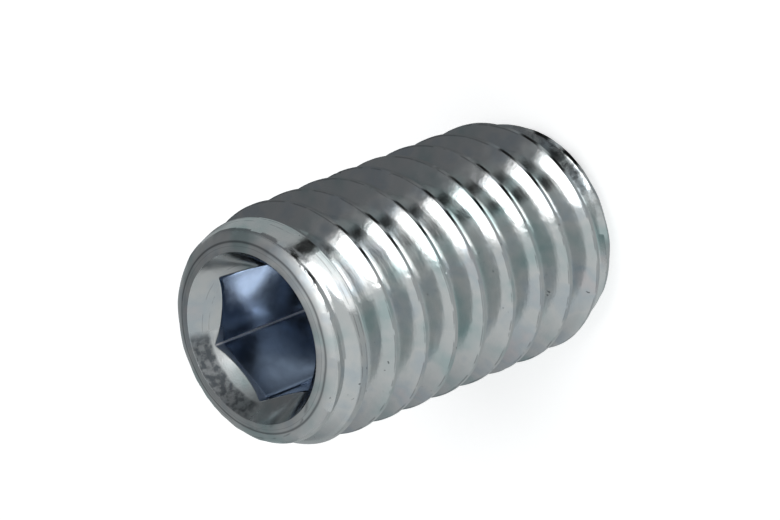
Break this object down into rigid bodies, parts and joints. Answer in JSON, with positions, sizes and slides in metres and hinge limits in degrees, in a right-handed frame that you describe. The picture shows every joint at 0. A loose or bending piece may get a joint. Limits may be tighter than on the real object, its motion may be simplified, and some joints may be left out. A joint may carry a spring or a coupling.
{
  "type": "hex socket set screw",
  "caption": "Headless steel set screw with a right-hand metric thread, a flat point and a countersunk hexagon key socket.",
  "frame": {"origin": "centre of the flat point's face, on the screw's axis", "axes": "+Z along the screw's axis from the flat point to the key socket; one corner of the hexagon lies 5 degrees from +Y, towards +X"},
  "size_m": [0.0058, 0.0058, 0.01],
  "materials": {
    "zinc_plated_steel": "bright zinc plate"
  },
  "bodies": {
    "root": {"set_screw": "zinc_plated_steel"}
  },
  "joints": []
}
